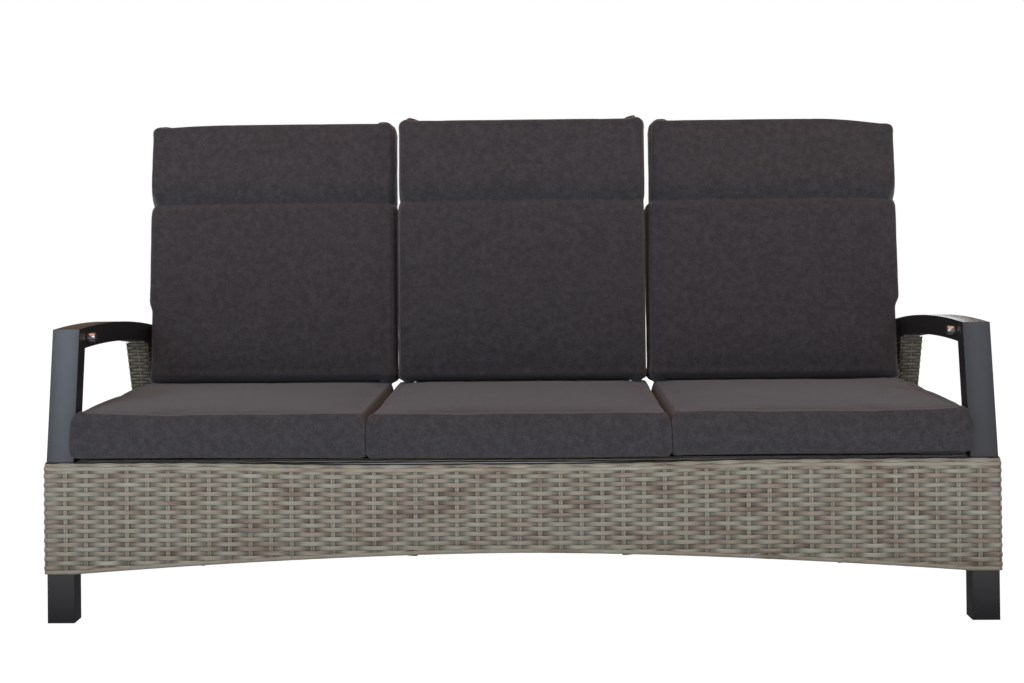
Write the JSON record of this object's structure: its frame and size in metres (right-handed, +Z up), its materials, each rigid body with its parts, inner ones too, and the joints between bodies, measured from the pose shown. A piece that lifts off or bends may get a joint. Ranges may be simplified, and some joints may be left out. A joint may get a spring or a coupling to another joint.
{
  "type": "rattan garden sofa",
  "caption": "Long woven garden sofa with aluminium arms, loose seat pads and high back pads; its outer backs recline on gas springs.",
  "frame": {"origin": "on the ground under the middle of the sofa's overall box", "axes": "+X along the sofa to the right as seen from the front, +Y from the front to the rear, +Z up; the seats face -Y"},
  "size_m": [2.053, 0.8042, 1.126],
  "materials": {
    "wicker": "grey-brown melange flat synthetic rattan, over-and-under weave on double stakes",
    "powder_coated_aluminium": "anthracite powder coat, fine texture",
    "frame_tube": "anthracite powder coat on hidden frame tubes",
    "steel_fittings": "zinc-plated steel",
    "black_steel": "black-lacquered steel",
    "polished_steel": "polished",
    "black_plastic": "moulded black",
    "cushion_fabric": "charcoal-brown melange outdoor fabric over foam"
  },
  "bodies": {
    "sofa_base": {"left_front_post": "powder_coated_aluminium", "right_front_post": "powder_coated_aluminium", "left_armrest": "powder_coated_aluminium", "right_armrest": "powder_coated_aluminium", "left_rear_leg": "powder_coated_aluminium", "right_rear_leg": "powder_coated_aluminium", "left_front_foot_glide": "black_plastic", "right_front_foot_glide": "black_plastic", "left_rear_foot_glide": "black_plastic", "right_rear_foot_glide": "black_plastic", "left_side_rail": "frame_tube", "right_side_rail": "frame_tube", "left_rear_post_tube": "frame_tube", "right_rear_post_tube": "frame_tube", "left_rear_post_sleeve": "wicker", "right_rear_post_sleeve": "wicker", "left_side_apron": "wicker", "right_side_apron": "wicker", "left_cross_rail": "frame_tube", "right_cross_rail": "frame_tube", "left_spring_bracket": "steel_fittings", "right_spring_bracket": "steel_fittings", "left_button_collar": "black_plastic", "right_button_collar": "black_plastic", "front_rail": "frame_tube", "hinge_rail": "frame_tube", "rear_rail": "frame_tube", "front_apron": "wicker", "rear_apron": "wicker", "seat_deck": "wicker", "left_seat_cushion": "cushion_fabric", "centre_seat_cushion": "cushion_fabric", "right_seat_cushion": "cushion_fabric", "left_hinge_shaft": "steel_fittings", "right_hinge_shaft": "steel_fittings", "centre_back_bolt_left": "steel_fittings", "centre_back_bolt_right": "steel_fittings", "left_back_bracket_left": "black_steel", "left_back_bracket_right": "black_steel", "centre_back_bracket_left": "black_steel", "centre_back_bracket_right": "black_steel", "right_back_bracket_left": "black_steel", "right_back_bracket_right": "black_steel", "centre_back_frame": "frame_tube", "centre_back_weave": "wicker", "centre_back_cushion": "cushion_fabric", "left_release_cable": "black_plastic", "right_release_cable": "black_plastic"},
    "left_back": {"left_back_frame": "frame_tube", "left_back_weave": "wicker", "left_back_cushion": "cushion_fabric"},
    "right_back": {"right_back_frame": "frame_tube", "right_back_weave": "wicker", "right_back_cushion": "cushion_fabric"},
    "left_spring_cylinder": {"left_gas_spring_cylinder": "black_steel"},
    "right_spring_cylinder": {"right_gas_spring_cylinder": "black_steel"},
    "left_spring_rod": {"left_gas_spring_rod": "polished_steel"},
    "right_spring_rod": {"right_gas_spring_rod": "polished_steel"},
    "left_button": {"left_release_button": "polished_steel"},
    "right_button": {"right_release_button": "polished_steel"}
  },
  "joints": [
    {"name": "left_back_recline", "type": "hinge", "parent": "sofa_base", "child": "left_back", "pos_m": [-0.635, 0.25427, 0.372], "axis": [-1, 0, 0], "range_deg": [0, 28]},
    {"name": "right_back_recline", "type": "hinge", "parent": "sofa_base", "child": "right_back", "pos_m": [0.635, 0.25427, 0.372], "axis": [-1, 0, 0], "range_deg": [0, 28]},
    {"name": "left_spring_tilt", "type": "hinge", "parent": "sofa_base", "child": "left_spring_cylinder", "pos_m": [-0.3955, -0.03773, 0.215], "axis": [1, 0, 0], "range_deg": [0, 1.6]},
    {"name": "right_spring_tilt", "type": "hinge", "parent": "sofa_base", "child": "right_spring_cylinder", "pos_m": [0.3955, -0.03773, 0.215], "axis": [1, 0, 0], "range_deg": [0, 1.6]},
    {"name": "left_rod_slide", "type": "slide", "parent": "left_spring_cylinder", "child": "left_spring_rod", "axis": [0, 0.9609, 0.2771], "range_m": [-0.034, 0]},
    {"name": "right_rod_slide", "type": "slide", "parent": "right_spring_cylinder", "child": "right_spring_rod", "axis": [0, 0.9609, 0.2771], "range_m": [-0.034, 0]},
    {"name": "left_button_press", "type": "slide", "parent": "sofa_base", "child": "left_button", "axis": [-1, 0, 0], "range_m": [0, 0.006], "stiffness_N_per_m": 900},
    {"name": "right_button_press", "type": "slide", "parent": "sofa_base", "child": "right_button", "axis": [1, 0, 0], "range_m": [0, 0.006], "stiffness_N_per_m": 900}
  ],
  "couplings": [
    {"joint": "left_spring_tilt", "follows": "left_back_recline", "ratio": 0.055607},
    {"joint": "right_spring_tilt", "follows": "right_back_recline", "ratio": 0.055607},
    {"joint": "left_rod_slide", "follows": "left_back_recline", "m_per_rad": -0.067106},
    {"joint": "right_rod_slide", "follows": "right_back_recline", "m_per_rad": -0.067106}
  ]
}
